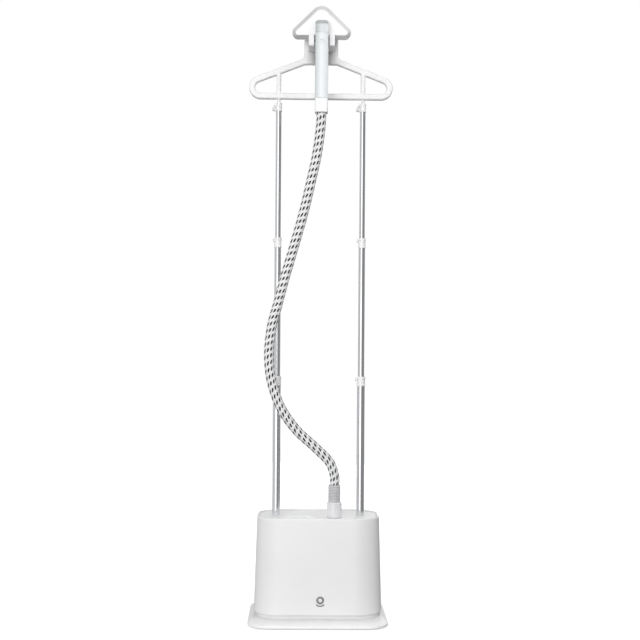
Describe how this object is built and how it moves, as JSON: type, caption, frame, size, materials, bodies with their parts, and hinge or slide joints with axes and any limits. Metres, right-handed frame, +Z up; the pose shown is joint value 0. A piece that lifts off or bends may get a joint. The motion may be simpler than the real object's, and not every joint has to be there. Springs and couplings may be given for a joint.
{
  "type": "garment steamer",
  "caption": "Upright garment steamer: rounded base on a foot plate, telescopic twin-pole mast, coat hanger, and a triangular steam handset on a braided hose.",
  "frame": {"origin": "on the floor, under the middle of the foot plate, which is the middle of the object's box", "axes": "+Z up along the mast, +X to the user's right, -Y towards the user"},
  "size_m": [0.352, 0.268, 1.488],
  "materials": {
    "shell_white": "satin moulded ABS",
    "plate_white": "satin moulded ABS",
    "hanger_white": "smooth moulded PP",
    "handset_white": "glossy moulded ABS",
    "pearl": "pearl lacquer",
    "grey_trim": "smooth grey",
    "light_grey": "fine moulded grain",
    "poles": "polished and anodised",
    "steam_metal": "brushed",
    "cast_metal": "as cast",
    "element_steel": "drawn tube",
    "foot_rubber": "matt",
    "silicone": "matt",
    "dark_plastic": "matt",
    "board_green": "solder mask",
    "tank_resin": "translucent resin, modelled opaque",
    "hose_braid": "white braid with grey flecks"
  },
  "bodies": {
    "root": {"foot_plate": "plate_white", "foot_front_left": "foot_rubber", "foot_front_right": "foot_rubber", "foot_rear_left": "foot_rubber", "foot_rear_right": "foot_rubber", "plinth_ring": "plate_white", "base_shell": "shell_white", "top_deck": "shell_white", "button_bezel": "grey_trim", "indicator_lens": "grey_trim", "cord_gland": "light_grey", "water_tank": "tank_resin", "tank_valve": "light_grey", "boiler_body": "cast_metal", "boiler_lid": "cast_metal", "heating_element": "element_steel", "thermostat": "dark_plastic", "steam_pipe": "silicone", "feed_tube": "silicone", "control_board": "board_green", "hose_connector": "light_grey", "hose_cuff": "hose_braid", "hose_lower": "hose_braid", "pole_socket_left": "light_grey", "pole_socket_right": "light_grey", "tube_lower_left": "poles", "tube_lower_right": "poles", "clip_lower_left": "hanger_white", "clip_lower_right": "hanger_white"},
    "middle_left": {"tube_middle_left": "poles", "clip_middle_left": "hanger_white", "hose_upper": "hose_braid"},
    "middle_right": {"tube_middle_right": "poles", "clip_middle_right": "hanger_white"},
    "upper_left": {"tube_upper_left": "poles", "clip_upper_left": "hanger_white"},
    "upper_right": {"tube_upper_right": "poles", "clip_upper_right": "hanger_white"},
    "hanger": {"hanger_frame": "hanger_white", "handset_cradle": "hanger_white"},
    "handset": {"handle_body": "handset_white", "handle_front_panel": "pearl", "handle_hose_collar": "handset_white", "head_shell": "handset_white", "head_seal": "silicone", "steam_plate": "steam_metal", "steam_duct": "silicone"},
    "steam_button": {"steam_button": "pearl"},
    "power_button": {"power_button": "handset_white"},
    "filler_lid": {"filler_lid": "shell_white"},
    "hose_nut": {"hose_nut": "light_grey"},
    "lever_lower_left": {"lever_lower_left": "light_grey"},
    "lever_lower_right": {"lever_lower_right": "light_grey"},
    "lever_middle_left": {"lever_middle_left": "light_grey"},
    "lever_middle_right": {"lever_middle_right": "light_grey"},
    "lever_upper_left": {"lever_upper_left": "light_grey"},
    "lever_upper_right": {"lever_upper_right": "light_grey"}
  },
  "joints": [
    {"name": "middle_left_slide", "type": "slide", "parent": "root", "child": "middle_left", "axis": [0, 0, 1], "range_m": [-0.3, 0], "deforming": ["hose_lower"]},
    {"name": "middle_right_slide", "type": "slide", "parent": "root", "child": "middle_right", "axis": [0, 0, 1], "range_m": [-0.3, 0]},
    {"name": "upper_left_slide", "type": "slide", "parent": "middle_left", "child": "upper_left", "axis": [0, 0, 1], "range_m": [-0.3, 0], "deforming": ["hose_upper"]},
    {"name": "upper_right_slide", "type": "slide", "parent": "middle_right", "child": "upper_right", "axis": [0, 0, 1], "range_m": [-0.3, 0]},
    {"name": "hanger_lift", "type": "slide", "parent": "upper_left", "child": "hanger", "axis": [0, 0, 1], "range_m": [0, 0.065]},
    {"name": "handset_lift", "type": "slide", "parent": "hanger", "child": "handset", "axis": [0, 0, 1], "range_m": [0, 0.045]},
    {"name": "steam_button_press", "type": "slide", "parent": "handset", "child": "steam_button", "axis": [0, 1, 0], "range_m": [0, 0.0015], "stiffness_N_per_m": 500},
    {"name": "power_button_press", "type": "slide", "parent": "root", "child": "power_button", "axis": [0, 1, 0], "range_m": [0, 0.0012], "stiffness_N_per_m": 500},
    {"name": "filler_lid_open", "type": "hinge", "parent": "root", "child": "filler_lid", "pos_m": [-0.045, 0.0107, 0.254], "axis": [-1, 0, 0], "range_deg": [0, 100]},
    {"name": "hose_nut_turn", "type": "hinge", "parent": "root", "child": "hose_nut", "pos_m": [0.0384, -0.054, 0.272], "axis": [0, 0, 1], "range_deg": [0, 90]},
    {"name": "lever_lower_left_swing", "type": "hinge", "parent": "root", "child": "lever_lower_left", "pos_m": [-0.1154, -0.016, 0.588], "axis": [0, 1, 0], "range_deg": [0, 95]},
    {"name": "lever_lower_right_swing", "type": "hinge", "parent": "root", "child": "lever_lower_right", "pos_m": [0.0906, -0.016, 0.588], "axis": [0, 1, 0], "range_deg": [0, 95]},
    {"name": "lever_middle_left_swing", "type": "hinge", "parent": "middle_left", "child": "lever_middle_left", "pos_m": [-0.1137, -0.016, 0.927], "axis": [0, 1, 0], "range_deg": [0, 95]},
    {"name": "lever_middle_right_swing", "type": "hinge", "parent": "middle_right", "child": "lever_middle_right", "pos_m": [0.0923, -0.016, 0.927], "axis": [0, 1, 0], "range_deg": [0, 95]},
    {"name": "lever_upper_left_swing", "type": "hinge", "parent": "upper_left", "child": "lever_upper_left", "pos_m": [-0.11265, -0.016, 1.257], "axis": [0, 1, 0], "range_deg": [0, 95]},
    {"name": "lever_upper_right_swing", "type": "hinge", "parent": "upper_right", "child": "lever_upper_right", "pos_m": [0.09335, -0.016, 1.257], "axis": [0, 1, 0], "range_deg": [0, 95]}
  ],
  "couplings": [
    {"joint": "middle_right_slide", "follows": "middle_left_slide", "ratio": 1},
    {"joint": "upper_right_slide", "follows": "upper_left_slide", "ratio": 1}
  ]
}
